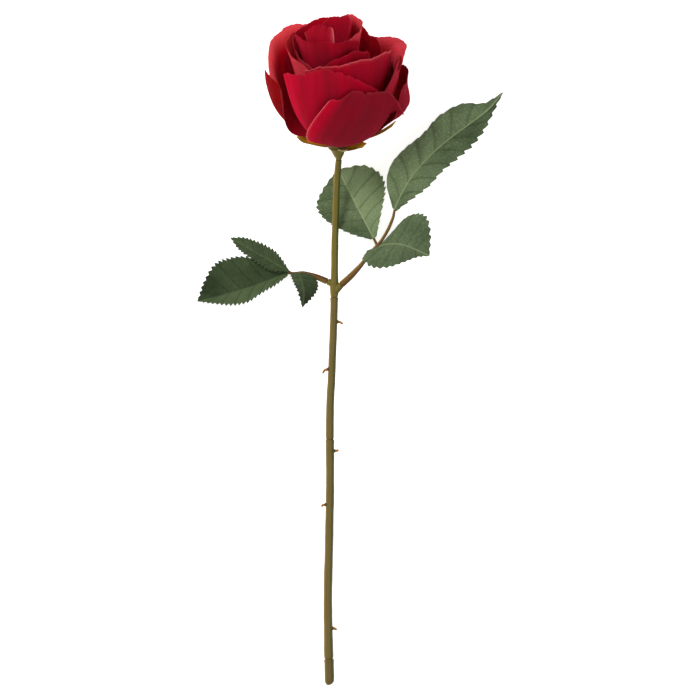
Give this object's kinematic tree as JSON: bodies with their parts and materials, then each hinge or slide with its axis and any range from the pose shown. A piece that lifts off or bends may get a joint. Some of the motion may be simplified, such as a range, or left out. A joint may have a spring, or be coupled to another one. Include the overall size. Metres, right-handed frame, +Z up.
{
  "type": "artificial rose stem",
  "caption": "Single artificial rose lying down: fabric petals and serrated leaves on a moulded plastic stem with thorns.",
  "frame": {"origin": "on the table under the middle of the rose's box, as it lies", "axes": "+Y along the stem from its cut end to the bloom, +X to the right and +Z up, seen from above"},
  "size_m": [0.2378, 0.519, 0.1106],
  "materials": {
    "petal_fabric": "crimson velvet-like woven petals, matt with a pale pink sheen at grazing angles",
    "leaf_fabric": "coated woven leaf cloth, grey green, printed veins, dull",
    "stem_plastic": "moulded olive green plastic with brown streaks, soft gloss",
    "stalk_plastic": "moulded plastic, orange brown fading to pale green, soft gloss",
    "core_wire": "drawn steel wire, hidden in the stem"
  },
  "bodies": {
    "root": {"stem_wire": "core_wire", "stem_end_cap": "stem_plastic", "stem_lower": "stem_plastic", "stem_middle": "stem_plastic", "stem_upper": "stem_plastic", "left_leaf_stalk": "stalk_plastic", "right_leaf_stalk": "stalk_plastic", "calyx": "stem_plastic", "bud_core": "stem_plastic", "left_leaf_terminal": "leaf_fabric", "left_leaf_upper": "leaf_fabric", "left_leaf_small": "leaf_fabric", "right_leaf_terminal": "leaf_fabric", "right_leaf_rear": "leaf_fabric", "right_leaf_front": "leaf_fabric", "petal_heart_1": "petal_fabric", "petal_heart_2": "petal_fabric", "petal_heart_3": "petal_fabric", "petal_heart_4": "petal_fabric", "petal_bud_1": "petal_fabric", "petal_bud_2": "petal_fabric", "petal_bud_3": "petal_fabric", "petal_inner_1": "petal_fabric", "petal_inner_2": "petal_fabric", "petal_inner_3": "petal_fabric", "petal_inner_4": "petal_fabric", "petal_inner_5": "petal_fabric", "petal_middle_1": "petal_fabric", "petal_middle_2": "petal_fabric", "petal_middle_3": "petal_fabric", "petal_middle_4": "petal_fabric", "petal_middle_5": "petal_fabric", "petal_outer_1": "petal_fabric", "petal_outer_2": "petal_fabric", "petal_outer_3": "petal_fabric", "petal_guard_1": "petal_fabric", "petal_guard_2": "petal_fabric", "petal_guard_3": "petal_fabric", "petal_guard_4": "petal_fabric"}
  },
  "joints": []
}
